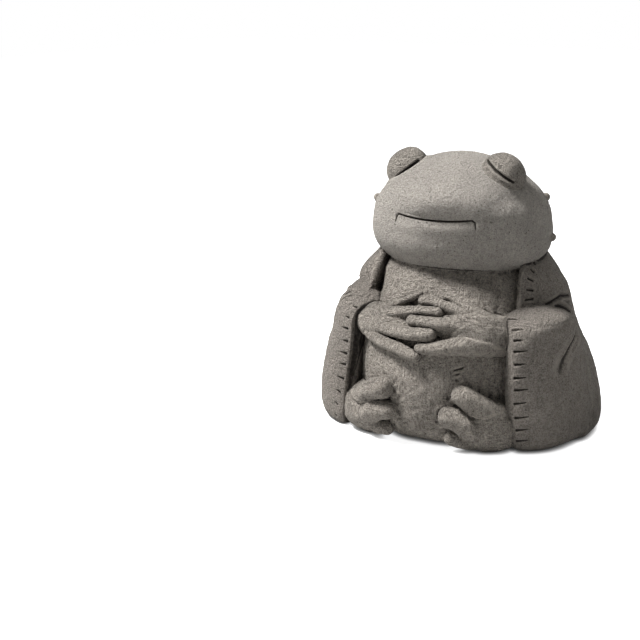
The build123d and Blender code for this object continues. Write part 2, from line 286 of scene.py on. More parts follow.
def piece(name, grids, material, nodes, painted_shade=None):
    """One object of one or more grids, in metres, that stands for the named solids.

    What a point stores is its hollowness / full_hollow plus its painted shade, held from -1 to 1.
    """
    points, quads, hollows, start = [], [], [], 0
    for k, grid in enumerate(grids):
        rows, columns = grid.shape[:2]
        # Nothing reaches below the ground
        grid = np.maximum(grid, (-np.inf, -np.inf, 0.0))
        flat = grid.reshape(-1, 3)
        faces = faces_of(rows, columns)
        if volume_of(flat, faces) < 0:
            faces = faces[:, ::-1]
        hollow = hollowness(grid, outward(grid)) / full_hollow
        # Painted shade in cuts and where masses meet is added to the hollowness
        if painted_shade is not None:
            hollow = hollow + painted_shade[k]
        points.append(flat)
        quads.append(faces + start)
        hollows.append(hollow.ravel())
        start += len(flat)
    points = np.concatenate(points) * MM
    quads = np.concatenate(quads)
    mesh = bpy.data.meshes.new(name)
    mesh.vertices.add(len(points))
    mesh.vertices.foreach_set("co", points.ravel())
    mesh.loops.add(quads.size)
    mesh.loops.foreach_set("vertex_index", quads.ravel())
    mesh.polygons.add(len(quads))
    mesh.polygons.foreach_set("loop_start", np.arange(0, quads.size, 4))
    mesh.polygons.foreach_set("use_smooth", np.ones(len(quads), bool))
    mesh.update(calc_edges=True)
    mesh.validate()
    layer = mesh.attributes.new("hollow", "FLOAT", "POINT")
    layer.data.foreach_set("value", np.clip(np.concatenate(hollows), -1, 1).astype(np.float32))
    obj = bpy.data.objects.new(name, mesh)
    bpy.context.scene.collection.objects.link(obj)
    mesh.materials.append(material)
    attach(obj, "root")
    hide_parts(*nodes)
    low, high = points.min(0), points.max(0)
    print(f"{name}: {2 * len(quads)} triangles, {np.round(low / MM)} to {np.round(high / MM)} mm")
    return obj


print("a point is fully hollow", full_hollow, "mm below its surroundings")

# %% [markdown]
# ## The stone
#
# Cast stone is a warm grey all through. Its look comes from three scales: clouds of slightly
# different grey, brush marks a few millimetres long that cross each other, and pits and sand
# grains of about a millimetre. A photograph wrapped round the body would stretch; noise in the
# object's own space doesn't. The stored hollowness paints shade into creases and makes ridges paler.


# %% Sums and colours in a node tree
def math_node(tree, operation, *values):
    """A sum in a node tree; each value may be a number or a socket."""
    node = tree.nodes.new("ShaderNodeMath")
    node.operation = operation
    for socket, value in zip(node.inputs, values):
        if isinstance(value, (int, float)):
            socket.default_value = value
        else:
            tree.links.new(value, socket)
    return node.outputs[0]


def toned(colour, factor):
    """A colour made darker or paler: each channel times the factor, at most 1."""
    return tuple(min(1.0, factor * channel) for channel in colour)


def ramp(tree, value, low, high, start=0.0, end=1.0):
    """A value stretched smoothly from low..high to start..end and held there."""
    node = tree.nodes.new("ShaderNodeMapRange")
    node.interpolation_type = "SMOOTHSTEP"
    tree.links.new(value, node.inputs["Value"])
    ends = {"From Min": low, "From Max": high, "To Min": start, "To Max": end}
    for key, number in ends.items():
        node.inputs[key].default_value = number
    return node.outputs["Result"]


def blend(tree, share, first, second):
    """Two colours mixed by a share; a colour may be a tuple or a socket."""
    node = tree.nodes.new("ShaderNodeMix")
    node.data_type = "RGBA"
    tree.links.new(share, node.inputs["Factor"])
    for socket, colour in ((node.inputs[6], first), (node.inputs[7], second)):
        if isinstance(colour, tuple):
            socket.default_value = (*colour, 1)
        else:
            tree.links.new(colour, socket)
    return node.outputs[2]


print("half as bright:", toned((0.5, 0.4, 0.3), 0.5))

# %% Noises, brush marks and pits
pits_per_metre = 330


def object_place(tree):
    """Where a point lies in its object's own space."""
    return tree.nodes.new("ShaderNodeTexCoord").outputs["Object"]


def noise(tree, scale, detail, rough=0.55, stretch=None, turn=(0, 0, 0)):
    """A noise in the object's space, in cells per metre, stretched and turned if asked."""
    texture = tree.nodes.new("ShaderNodeTexNoise")
    texture.inputs["Scale"].default_value = scale
    texture.inputs["Detail"].default_value = detail
    texture.inputs["Roughness"].default_value = rough
    source = object_place(tree)
    if stretch:
        mapping = tree.nodes.new("ShaderNodeMapping")
        mapping.inputs["Scale"].default_value = stretch
        mapping.inputs["Rotation"].default_value = turn
        tree.links.new(source, mapping.inputs["Vector"])
        source = mapping.outputs["Vector"]
    tree.links.new(source, texture.inputs["Vector"])
    return texture.outputs["Fac"]


def brush_marks(tree):
    """Two noises drawn out in crossing directions, each in its own patches."""
    first = noise(tree, 460, 3, 0.6, (1.0, 0.6, 0.28), (0.5, 0.2, 0.4))
    second = noise(tree, 480, 3, 0.6, (0.3, 0.7, 1.0), (-0.4, 0.3, -0.5))
    patches = ramp(tree, noise(tree, 60, 2), 0.42, 0.58)
    elsewhere = math_node(tree, "SUBTRACT", 1.0, patches)
    first = math_node(tree, "MULTIPLY", first, patches)
    second = math_node(tree, "MULTIPLY", second, elsewhere)
    return ramp(tree, math_node(tree, "ADD", first, second), 0.36, 0.62)


def pits(tree):
    """Pits, 1 in the middle of each and 0 outside, in patches of their own."""
    cells = tree.nodes.new("ShaderNodeTexVoronoi")
    cells.inputs["Scale"].default_value = pits_per_metre
    tree.links.new(object_place(tree), cells.inputs["Vector"])
    holes = ramp(tree, cells.outputs["Distance"], 0.0, 0.34, 1.0, 0.0)
    return math_node(tree, "MULTIPLY", holes, ramp(tree, noise(tree, 140, 2), 0.46, 0.6))


print("pits lie about", round(1 / MM / pits_per_metre, 1), "mm apart")


# %% The stone's node tree
def stone(name, pale, dark, marks, grain, specks):
    """A material: clouds and specks of grey, brush marks and pits as bumps, painted shade in hollows.

    pale is the clean stone's colour and dark that of the pits, the strokes' low parts and the
    painted shade. marks and grain are the shares of the brush marks and of the sand in the relief,
    and specks is how far the grains' colours differ.
    """
    material = bpy.data.materials.new(name)
    material.use_nodes = True
    tree = material.node_tree
    nodes, links = tree.nodes, tree.links
    shader = nodes["Principled BSDF"]
    shader.inputs["Specular IOR Level"].default_value = 0.25

    hollow = nodes.new("ShaderNodeAttribute")
    hollow.attribute_name = "hollow"
    depth = hollow.outputs["Fac"]

    strokes, holes, sand = brush_marks(tree), pits(tree), noise(tree, 720, 3, 0.8)

    # Each layer of colour: where it lies and what it is. Clouds, dark grains, pale grains, the
    # strokes' low parts, pits, painted shade in the hollows and creases, and paler ridges
    colour = pale
    for share, tone in (
        (ramp(tree, noise(tree, 22, 4, 0.6), 0.3, 0.7), toned(pale, 0.82)),
        (ramp(tree, sand, 0.4, 0.62, 0.0, specks), toned(pale, 0.38)),
        (ramp(tree, sand, 0.42, 0.3, 0.0, 0.3 * specks), toned(pale, 1.3)),
        (ramp(tree, strokes, 0.0, 0.5, 0.12 + 0.06 * marks, 0.0), dark),
        (math_node(tree, "MULTIPLY", holes, 0.85), dark),
        # Painted shade in the hollows, creases and cuts
        (ramp(tree, depth, 0.06, 0.75, 0.0, 0.95), dark),
        (ramp(tree, depth, -0.08, -0.7, 0.0, 0.4), toned(pale, 1.35)),
    ):
        colour = blend(tree, share, colour, tone)
    links.new(colour, shader.inputs["Base Color"])
    links.new(ramp(tree, sand, 0.3, 0.7, 0.82, 0.98), shader.inputs["Roughness"])

    # Relief: marks * strokes + grain * sand + 0.5 * grain * a wider noise - 0.9 * pits
    relief = math_node(tree, "MULTIPLY", strokes, marks)
    relief = math_node(tree, "MULTIPLY_ADD", sand, grain, relief)
    relief = math_node(tree, "MULTIPLY_ADD", noise(tree, 400, 2), 0.5 * grain, relief)
    relief = math_node(tree, "SUBTRACT", relief, math_node(tree, "MULTIPLY", holes, 0.9))
    bump = nodes.new("ShaderNodeBump")
    bump.inputs["Strength"].default_value = 1.0
    bump.inputs["Distance"].default_value = 0.0022
    links.new(relief, bump.inputs["Height"])
    links.new(bump.outputs["Normal"], shader.inputs["Normal"])
    return material


# Dark colours of the pits, the strokes' low parts and the painted shade
pit_and_shade_colour, soft_pit_and_shade_colour = (0.03, 0.024, 0.018), (0.04, 0.033, 0.026)
smooth_stone = stone("smooth_cast_stone", (0.462, 0.426, 0.382), soft_pit_and_shade_colour, 0.4, 3.2, 0.55)
skin_stone = stone("rough_cast_stone", (0.495, 0.444, 0.386), pit_and_shade_colour, 2.4, 5.2, 0.8)
brushed_stone = stone("brushed_cast_stone", (0.372, 0.332, 0.29), pit_and_shade_colour, 1.6, 4.6, 0.75)
lid_stone = stone("hatched_cast_stone", (0.424, 0.383, 0.334), pit_and_shade_colour, 1.6, 4.8, 0.8)
print("materials:", [m.name for m in (smooth_stone, skin_stone, brushed_stone, lid_stone)])

# %% [markdown]
# ## The masses' levels
#
# Each row is a height as a share of the mass's height, then its half width and its reach to
# the front and to the back as shares of the largest. The torso, robe and sleeves stand on the
# ground and tuck in over the last few millimetres, as the edge of a mould does.

# %% Level tables and sizes
torso_size = {"height": 176.0, "width": 98.0, "front": 111.0, "back": 92.0}
torso_levels = (
    (0.0, 0.96, 0.89, 0.96), (0.06, 1.0, 0.945, 1.0), (0.24, 1.0, 1.0, 1.0),
    (0.42, 0.98, 1.0, 0.98), (0.58, 0.93, 0.94, 0.94), (0.72, 0.86, 0.82, 0.86),
    (0.86, 0.75, 0.67, 0.76), (1.0, 0.6, 0.5, 0.62),
)
robe_size = {"height": 186.0, "width": 140.0, "front": 111.0, "back": 112.0}
robe_levels = (
    (0.0, 0.97, 0.95, 0.965), (0.04, 0.995, 0.985, 0.99), (0.13, 1.0, 1.0, 1.0),
    (0.25, 0.98, 0.98, 0.975), (0.38, 0.92, 0.935, 0.91), (0.51, 0.835, 0.87, 0.84),
    (0.65, 0.77, 0.82, 0.76), (0.78, 0.72, 0.8, 0.66), (0.89, 0.63, 0.76, 0.53),
    (1.0, 0.51, 0.56, 0.42),
)
head_size = {"height": 119.0, "width": 90.0, "front": 74.0, "back": 76.0}
head_levels = (
    (0.0, 0.0, 0.0, 0.0), (0.035, 0.45, 0.42, 0.42), (0.12, 0.78, 0.74, 0.72),
    (0.24, 0.955, 0.9, 0.92), (0.36, 1.0, 0.965, 0.99), (0.48, 0.99, 0.99, 1.0),
    (0.6, 0.945, 1.0, 0.96), (0.7, 0.855, 0.965, 0.87), (0.8, 0.705, 0.84, 0.74),
    (0.89, 0.53, 0.65, 0.57), (0.96, 0.32, 0.4, 0.36), (1.0, 0.0, 0.0, 0.0),
)
head_bottom, head_forward, robe_setback = 150.0, 8.0, 8.0
print("heights:", torso_size["height"], robe_size["height"], head_bottom + head_size["height"])

# %% The sleeves' levels and the edges of the bases
# Height, how far to the side and how far forward the middle lies, half width and half depth,
# all as shares of the sizes below
sleeve_levels = {
    "left": (
        (0.0, 0.96, 0.9, 0.92, 0.97), (0.05, 0.975, 0.93, 0.97, 0.99), (0.22, 1.0, 1.0, 0.99, 1.0),
        (0.45, 0.965, 1.1, 0.955, 0.97), (0.65, 0.93, 1.35, 0.92, 0.89),
        (0.8, 0.945, 1.95, 0.86, 0.72), (0.91, 0.99, 2.5, 0.69, 0.5),
        (0.965, 1.02, 2.6, 0.46, 0.34), (1.0, 1.04, 2.6, 0.08, 0.08),
    ),
    "right": (
        (0.0, 0.96, 0.9, 0.92, 0.97), (0.05, 0.975, 0.93, 0.97, 0.99),
        (0.22, 1.0, 1.0, 0.97, 0.98), (0.45, 0.96, 1.1, 0.93, 0.93),
        (0.65, 0.9, 1.25, 0.865, 0.85), (0.8, 0.87, 1.45, 0.81, 0.78),
        (0.91, 0.85, 1.55, 0.68, 0.66), (0.975, 0.85, 1.6, 0.45, 0.44),
        (1.0, 0.85, 1.6, 0.08, 0.08),
    ),
}
sleeve_heights = {"left": 135.0, "right": 141.0}
sleeve_side, sleeve_forward = 93.0, 18.0
sleeve_width, sleeve_depth = 46.0, 67.0
edge_radius = {"torso": 17.0, "robe": 8.0, "left_sleeve": 16.0, "right_sleeve": 5.0, "foot": 14.0}
print("sleeve levels:", {side: len(levels) for side, levels in sleeve_levels.items()})


# %% Sizes of the masses and distances to them
def sizes_at(levels, size, heights):
    """Half width, front reach and back reach of a mass at heights above its own bottom."""
    shares = columns_at(levels, heights / size["height"])
    return shares * np.array((size["width"], size["front"], size["back"]))


def tuck(heights, mass):
    """How far the edge of the base draws in: a quarter circle over the last millimetres."""
    radius = edge_radius[mass]
    low = np.clip(radius - heights, 0, radius)
    return radius - np.sqrt(radius**2 - low**2)


def belly(x, z):
    """How far forward the torso's front reaches at a place in the front view."""
    width, front, _ = np.moveaxis(sizes_at(torso_levels, torso_size, np.asarray(z, float)), -1, 0)
    return front * np.sqrt(np.clip(1 - (x / width) ** 2, 0.02, 1))


def oval_gap(points, levels, size, bottom=0.0, centre=0.0):
    """Rough distance outside a mass of oval levels.

    With F the size of the oval through a point over the mass's own, it is (F - 1) * F over the
    length of (x / width^2, y / reach^2).
    """
    width, front, back = np.moveaxis(sizes_at(levels, size, points[..., 2] - bottom), -1, 0)
    y = points[..., 1] - centre
    reach = np.maximum(np.where(y < 0, front, back), 1.0)
    width = np.maximum(width, 1.0)
    times = np.sqrt((points[..., 0] / width) ** 2 + (y / reach) ** 2)
    slope = np.sqrt((points[..., 0] / width**2) ** 2 + (y / reach**2) ** 2)
    return (times - 1) * times / np.maximum(slope, 1e-6)


def torso_gap(points):
    """Rough distance outside the torso."""
    return oval_gap(points, torso_levels, torso_size)


def head_gap(points):
    """Rough distance outside the head."""
    return oval_gap(points, head_levels, head_size, head_bottom, -head_forward)


def sleeve_gap(points, side):
    """Rough distance outside one sleeve's oval."""
    top = sleeve_heights[side]
    shares = columns_at(sleeve_levels[side], points[..., 2] / top)
    middle, forward, wide, deep = np.moveaxis(shares, -1, 0)
    x = points[..., 0] - sides[side] * middle * sleeve_side
    y = points[..., 1] + forward * sleeve_forward
    wide, deep = wide * sleeve_width, deep * sleeve_depth
    times = np.sqrt((x / wide) ** 2 + (y / deep) ** 2)
    slope = np.sqrt((x / wide**2) ** 2 + (y / deep**2) ** 2)
    gap = (times - 1) * times / np.maximum(slope, 1e-6)
    return gap + np.clip(points[..., 2] - top, 0, None)


print("belly reach at the hands:", round(float(belly(0.0, 108.0)), 1))

# %% [markdown]
# ## Courses of the hands, fingers and toes
#
# Each is a few listed points: how far to the side, how high, how proud of the belly
# its middle runs, and how thick it is there. Fingers start deep in the hand and rise out of it,
# so that they show as tendons on the back of the hand, and end in fuller tips.

# %% Finger courses: side, height, proud of the belly, radius
finger_courses = {
    "left_little_finger": (
        (80, 100, -2, 9), (60, 102, 1.5, 10.5), (40, 102.4, 5, 9), (22, 100.8, 6, 6.8),
        (9, 98.8, 5.4, 5.4), (-4, 98, 4.6, 5),
    ),
    "left_middle_finger": (
        (72, 114, -2, 7), (54, 118, 2.5, 7), (35, 120.3, 6, 6.4), (16, 121, 7.2, 6.2),
        (0, 121.6, 7, 5.8), (-17, 120.8, 5.8, 6),
    ),
    "left_index_finger": (
        (66, 119, -2, 6), (50, 124, 2, 6.5), (34, 130, 4, 5.8), (17, 135.5, 5, 5.2),
        (4, 138.6, 5, 5), (-10, 138.2, 4.8, 5.8),
    ),
    "left_thumb": (
        (68, 113, -2, 8), (54, 121, 1, 9), (42, 129.5, 3, 7.6), (32, 137, 3.6, 6.2),
        (22, 142.5, 3.6, 4.8), (11, 143.2, 3, 4.6),
    ),
    "right_index_finger": (
        (-74, 111, -2, 6), (-58, 117.5, 2, 6.5), (-42, 122.6, 4.8, 5.8), (-24, 126.9, 6, 5.2),
        (-6, 129.8, 6, 5.0), (17, 130, 5, 5.8),
    ),
    "right_middle_finger": (
        (-72, 107, -1, 7), (-54, 108.3, 3.5, 6.8), (-35, 109.3, 6, 6.3), (-16, 110, 6.6, 6.5),
        (-1, 110.5, 6.4, 6.6), (15, 111.6, 5.4, 6.6),
    ),
    "right_little_finger": (
        (-76, 101, -1, 7), (-60, 98, 2.5, 6.8), (-42, 96.6, 4.5, 6), (-24, 95.8, 5.4, 5.8),
        (-10, 92.8, 5.4, 5.8), (3, 89.5, 4.6, 5.4),
    ),
    "right_thumb": (
        (-74, 111, -1, 5), (-56, 119.5, 1.5, 4.6), (-41, 127.5, 2.2, 3.8), (-28, 134.7, 2.4, 3.2),
        (-10, 143.5, 1.6, 3),
    ),
}
print("fingers:", len(finger_courses))

# %% Toe and foot courses: side, height, proud of the belly, radius
toe_courses = {
    "left_upper_toe": (
        (86, 22, -2, 8), (74, 32, 5, 11), (62, 42.5, 8, 11.5), (50, 52, 7, 10.5),
        (42, 57.3, 6, 9.6), (34, 58.6, 5, 9.4),
    ),
    "left_middle_toe": (
        (78, 14, 0, 8), (62, 20, 6, 10.5), (48, 27.5, 8, 10.8), (37, 33.5, 6.5, 10),
        (29, 35.6, 5.5, 9.6), (22.5, 35.4, 5, 9.4),
    ),
    "left_lower_toe": (
        (76, 8, -2, 6), (58, 8.6, 4, 7.5), (44, 9.8, 5, 7.4), (35, 12.2, 4.6, 6.6),
        (27, 13.4, 4, 6.4),
    ),
    "right_upper_toe": (
        (-90, 18, -2, 8), (-76, 29, 6, 10.5), (-62, 40, 8, 11), (-50, 49, 7.5, 10.8),
        (-38, 53.7, 6, 10.8), (-26, 56.2, 4.5, 10),
    ),
    "right_middle_toe": (
        (-80, 14, 0, 8), (-66, 21, 7, 10), (-52, 26, 8, 10), (-41, 29.8, 6.5, 9.8),
        (-31, 32.6, 5, 9), (-22, 34.8, 4.5, 8.4),
    ),
    "right_lower_toe": (
        (-78, 6, -3, 7), (-62, 8, 3, 7), (-48, 9.6, 5, 7), (-38, 11, 5, 6.4), (-28, 12.4, 4, 5.8),
    ),
}
foot_courses = {
    "left": (
        (88, 14, 0, 14), (76, 21, 4.5, 23), (63, 25, 6, 24), (51, 29, 4.5, 21), (41, 34, -1, 14),
    ),
    "right": (
        (-90, 12, 0, 13), (-78, 20, 3.5, 21), (-65, 24, 5.5, 22), (-53, 28, 4.5, 20),
        (-42, 34, -1, 13),
    ),
}
print("toes:", len(toe_courses), "feet:", len(foot_courses))

# %% Hand courses in space: x, y, z, radius
hand_courses = {
    "left_hand": (
        (96, -36, 99, 13), (83, -50, 103, 15.5), (70, -63, 106.5, 16.5), (57, -75.5, 108.5, 17),
        (45, -83, 112, 17.5), (30, -87.5, 115, 15), (12, -90, 115, 12), (0, -89, 115, 9),
    ),
    "right_hand": (
        (-96, -36, 99, 13), (-84, -50, 103, 15.5), (-73, -62, 107, 16.5), (-62, -72.5, 109.5, 17),
        (-50, -80, 111, 16.5), (-35, -85, 112.5, 14.5), (-16, -88.5, 112, 12), (-4, -88, 112, 9),
    ),
}
hand_flatness, foot_flatness = 0.85, 0.55
print("hands:", len(hand_courses))


# %% Every limb's course in space
def on_belly(course):
    """Points of a course in space and its radii, from side, height, proud and radius."""
    side, height, proud, radius = np.asarray(course, float).T
    return np.stack((side, -belly(side, height) - proud, height), -1), radius


limbs = {name: on_belly(course) for name, course in {**finger_courses, **toe_courses}.items()}
for name, course in hand_courses.items():
    course = np.asarray(course, float)
    limbs[name] = (course[:, :3], course[:, 3])
for side, course in foot_courses.items():
    limbs[f"{side}_foot_body"] = on_belly(course)
print("limbs:", len(limbs))

# %% [markdown]
# ## A limb along its course
#
# A finger could be a skinned armature or a bevelled curve. A ring carried along a curve gives
# more say: its size, its flatness and its rounded ends are all plain formulas.


# %% The limb's surface
def limb(name, rows=90, columns=48, flat=1.0):
    """A rounded tube.

    c(s) is a smooth curve through the course's points and r(s) its radius, both by length s
    along it. With t the direction of the curve, n the belly's outward direction made square to
    t, and b = t x n, a point is c + r * cap * (cos(a) * b + flat * sin(a) * n). The cap rounds
    both ends: cap = sqrt(1 - (1 - e / r)^2), e being the distance from the nearer end.
    """
    points, radii = limbs[name]
    knots = np.arange(len(points), dtype=float)
    table = np.column_stack((knots, points, radii))
    fine = columns_at(table, np.linspace(0, knots[-1], 600))
    steps = np.linalg.norm(np.diff(fine[:, :3], axis=0), axis=1)
    length = np.concatenate(([0], np.cumsum(steps)))
    # The rows stand closer together near both ends, where the caps close
    u = np.linspace(0, 1, rows)
    s = length[-1] * (u - 0.92 * np.sin(2 * math.pi * u) / (2 * math.pi))
    course = np.stack([np.interp(s, length, column) for column in fine.T], -1)
    centre, radius = course[:, :3], course[:, 3]
    towards = unit(np.gradient(centre, axis=0) + 1e-9)
    x, z = centre[:, 0], centre[:, 2]
    # The belly's outward direction, from its slopes over 2 mm
    slope_x = belly(x - 1, z) - belly(x + 1, z)
    slope_z = belly(x, z - 1) - belly(x, z + 1)
    away = unit(np.stack((slope_x, np.full_like(x, -2), slope_z), -1))
    away = unit(away - np.sum(away * towards, -1, keepdims=True) * towards)
    beside = np.cross(towards, away)
    end = np.minimum(s, length[-1] - s)
    cap = np.sqrt(np.clip(1 - (1 - np.clip(end / radius, 0, 1)) ** 2, 4e-4, 1))
    turn = np.linspace(0, 2 * math.pi, columns, endpoint=False)[None, :, None]
    ring = np.cos(turn) * beside[:, None] + flat * np.sin(turn) * away[:, None]
    return centre[:, None] + (radius * cap)[:, None, None] * ring


print("a thumb's grid:", limb("left_thumb").shape)


# %% Settling a grid between its neighbours
def settle(grid, neighbours, reach, coarse, fine):
    """A grid with its unevenness and fillets, and the painted shade where it meets its neighbours.

    neighbours are functions that give the distance outside a neighbour, reach is the fillets',
    and coarse and fine are the heights of the unevenness.
    """
    normals = outward(grid)
    rise = worked(grid, coarse, fine)
    painted_shade = np.zeros(grid.shape[:-1])
    for gap_of in neighbours:
        gap = gap_of(grid)
        rise = rise + fillet(gap, reach)
        painted_shade = np.maximum(painted_shade, crease_shade(gap))
    return grid + rise[..., None] * normals, painted_shade


def beside_limbs(*names):
    """Gap functions for the named limbs."""
    return [lambda p, n=name: limb_gap(p, *limbs[n]) for name in names]


print("gap functions of all limbs:", len(beside_limbs(*limbs)))

# %% [markdown]
# ## The torso
#
# Belly and chest in one: an oval at each height, deeper to the front than to the back. The
# hands, fingers and toes are pressed into it, a hollow lies under the chin, and a few scratches
# mark the belly.


# %% The torso's grid
def torso_grid(columns, heights):
    """An oval at each height: x = w * sin(a), y = -reach * cos(a), drawn in at the base."""
    width, front, back = (v[:, None] for v in sizes_at(torso_levels, torso_size, heights).T)
    turn = (np.arange(columns) + 0.5)[None, :] / columns * 2 * math.pi
    reach = np.where(np.cos(turn) > 0, front, back)
    pull = tuck(heights, "torso")[:, None]
    x = (width - pull) * np.sin(turn)
    y = -(reach - pull) * np.cos(turn)
    return np.stack((x, y, np.broadcast_to(heights[:, None], x.shape)), -1)


torso = torso_grid(320, spaced(0, torso_size["height"], 250, (3, 4, 2), (118, 25, 1)))
print("torso grid:", torso.shape)

# %% Swells, hollows and scratches of the belly and chest
# Place, radius and how far the clay is pushed out there
torso_pushes = (
    ((0, -72, 158), 26, -2.5), ((-20, -88, 137), 9, -5.0), ((30, -85, 136), 8, -2.5),
    ((0, -110, 60), 34, 2.0), ((74, -40, 150), (24, 30, 24), 5.0),
    ((-74, -40, 161), (24, 30, 18), 6.0), ((-73, -50, 141), (12, 18, 12), -4.0),
)
scratches = (
    ((32, -103, 79), (42, -99, 82)), ((33, -103, 75), (39, -101, 76.5)),
    ((0, -84, 146), (3, -82, 151)),
)
normals = outward(torso)
rise = worked(torso, 1.0, 0.55)
for place, radius, amount in torso_pushes:
    rise += push(torso, place, radius, amount)
for line in scratches:
    rise += cut(torso, line, width=1.2, depth=1.2, lip=0.6)
torso = torso + rise[..., None] * normals
# Painted shade where the limbs and the head meet the torso
torso, torso_shade = settle(torso, [*beside_limbs(*limbs), head_gap], reach=4.0, coarse=0, fine=0)
piece("torso_skin", [torso], skin_stone, ["torso"], [torso_shade])

# %% [markdown]
# ## The head
#
# A wide bun. Its levels are spread by an angle from pole to pole, which keeps the grid even at
# the crown. The muzzle swells above the mouth and rolls in to it, the lip below catches the
# light, and a soft hollow runs under each eye before the cheek fills out again.

# %% Eye places, shared by the head and the eyelids
eye_spread, eye_forward, eye_height = 49.0, 30.0, 253.0
eye_half_length, eye_radius, eye_slope = 22.0, 19.0, math.radians(37)


def eye_axes(sign):
    """Centre of a dome, its long direction, and the direction square to its slit on the front."""
    centre = np.array((sign * eye_spread, -eye_forward, eye_height))
    along = np.array((sign * math.cos(eye_slope), 0, -math.sin(eye_slope)))
    over = np.array((sign * math.sin(eye_slope), 0, math.cos(eye_slope)))
    return centre, along, over


def eye_gap(points, sign):
    """Rough distance outside an eyelid's dome, an egg a little longer than it is thick."""
    centre, along, _ = eye_axes(sign)
    far = points - centre
    lengthwise = far @ along
    around = np.linalg.norm(far - lengthwise[..., None] * along, axis=-1)
    times = np.sqrt((lengthwise / eye_half_length) ** 2 + (around / eye_radius) ** 2)
    return (times - 1) * eye_radius


def blend_reach(points, sign):
    """How widely a dome melts into the head: 13.5 mm below the slit, 2.5 mm above it."""
    centre, _, over = eye_axes(sign)
    below = np.clip(0.5 - (points - centre) @ over / 10, 0, 1)
    return 2.5 + 11 * below**2 * (3 - 2 * below)


print("left eye's middle:", eye_axes(1)[0])

# %% The head's grid
head_rows, head_columns = 250, 340
# One row closes the neck, hidden in the torso, and the others start a little above it
polar = np.concatenate(([0.02], spaced(0.35, math.pi - 0.02, head_rows - 1, (1.66, 0.12, 2.5))))
levels_by_angle = np.array([(math.acos(1 - 2 * level), *rest) for level, *rest in head_levels])
shares = columns_at(levels_by_angle, polar)
largest = (head_size["width"], head_size["front"], head_size["back"])
width, front, back = (shares * largest).T[:, :, None]
# The columns stand closer together over the face
turn = (np.arange(head_columns) + 0.5)[None, :] / head_columns * 2 * math.pi
turn = turn - 0.35 * np.sin(turn)
reach = np.where(np.cos(turn) > 0, front, back)
height = head_bottom + head_size["height"] * (1 - np.cos(polar)) / 2
height = np.broadcast_to(height, (head_columns, head_rows)).T
head = np.stack((width * np.sin(turn), -head_forward - reach * np.cos(turn), height), -1)
print("head grid:", head.shape)

# %% Swells and hollows of the face
# Place, radius and how far the clay is pushed out: the muzzle, the mouth, its lip and the chin
face_pushes = [
    ((0, -78, 232), (34, 40, 11), 3.2), ((0, -80, 214), (40, 40, 4.5), -2.2),
    ((0, -80, 205), (34, 40, 7), 1.6), ((0, -74, 186), (46, 40, 12), 1.2),
]
for sign in sides.values():
    # Below an eye, the cheek, the eye's inner corner and the side of the head
    face_pushes += [
        ((sign * 56, -52, 231), (12, 30, 9), -1.5), ((sign * 70, -42, 208), (20, 34, 15), 1.2),
        ((sign * 26, -66, 247), (10, 30, 10), -1.5), ((sign * 91, 0, 212), (18, 44, 26), -2.0),
    ]
# The right eye's upper edge
face_pushes.append(((-35, -32, 264), 8, 2.0))
normals = outward(head)
rise = worked(head, 0.55, 0.22)
for place, radius, amount in face_pushes:
    rise += push(head, place, radius, amount)
print("pushes of the face:", len(face_pushes))

# %% The mouth: a sagging line with its corners turned down, seen from the front
mouth_half_width, mouth_height, mouth_sag, mouth_shift = 37.5, 215.5, 2.5, 1.5
corner_drops = np.array((9.5, 2.0))
across = np.linspace(-1, 1, 15)
mouth_x = across * mouth_half_width - mouth_shift
mouth_x = np.concatenate(([-42.5, -41], mouth_x, [38.5, 39.5]))
mouth_z = mouth_height - mouth_sag * (1 - across**2)
mouth_z = np.concatenate((mouth_height - corner_drops, mouth_z, mouth_height - corner_drops[::-1]))
mouth_line = np.stack((mouth_x, 0 * mouth_x, mouth_z), -1)
mouth = cut(head * (1, 0, 1), mouth_line, width=0.88, depth=2.4, lip=0.5)
mouth = np.where(head[..., 1] < -20, mouth, 0)
rise += mouth
print("mouth:", len(mouth_line), "points, cut", round(float(-mouth.min()), 1), "mm deep")

# %% Cheek creases, the eyes' soft edges and the painted shade
cheek_creases = (
    ((83, 0, 223), (86, -3, 216), (87, -6, 209)), ((88, -8, 201), (89, -9, 192)),
    ((-84, -2, 218), (-87, -6, 208)),
)
for line in cheek_creases:
    rise += cut(head, line, width=1.2, depth=1.0, lip=0.4)
# Painted shade in the mouth's cut, round the eyelids above their slits and under the chin
head_shade = np.clip(-mouth / 2, 0, 1)
for sign in sides.values():
    gap = eye_gap(head, sign)
    rise += fillet(gap, blend_reach(head, sign))
    centre, _, over = eye_axes(sign)
    above = (head - centre) @ over > -2
    head_shade = np.maximum(head_shade, np.where(above, crease_shade(gap, 1.4), 0))
below_chin = head[..., 2] < 190
head_shade = np.maximum(head_shade, crease_shade(torso_gap(head), 2.5) * below_chin)
head = head + rise[..., None] * normals
piece("head_skin", [head], smooth_stone, ["head"], [head_shade])

# %% [markdown]
# ## The eyelids
#
# Each eye is a closed dome, longer than it is thick, that slopes down and outwards. The slit is
# a deep cut straight along its front, and below it the dome melts into the face.

# %% The slits' courses: how far along the dome and how far above its middle
slit_places = {
    "left": ((-20.5, 2.6), (-13.8, 3.6), (-5.0, 3.8), (4.0, 4.4), (12.5, 4.9), (15.5, 5.2)),
    "right": ((-19.0, -2.0), (-15.8, -2.7), (-9.7, -3.3), (-2.8, -3.6), (6.8, -3.7), (9.5, -3.5)),
}
# How much fuller each dome is above its slit
crown_push = {"left": 1.0, "right": -1.2}
print("slits:", {side: len(places) for side, places in slit_places.items()})

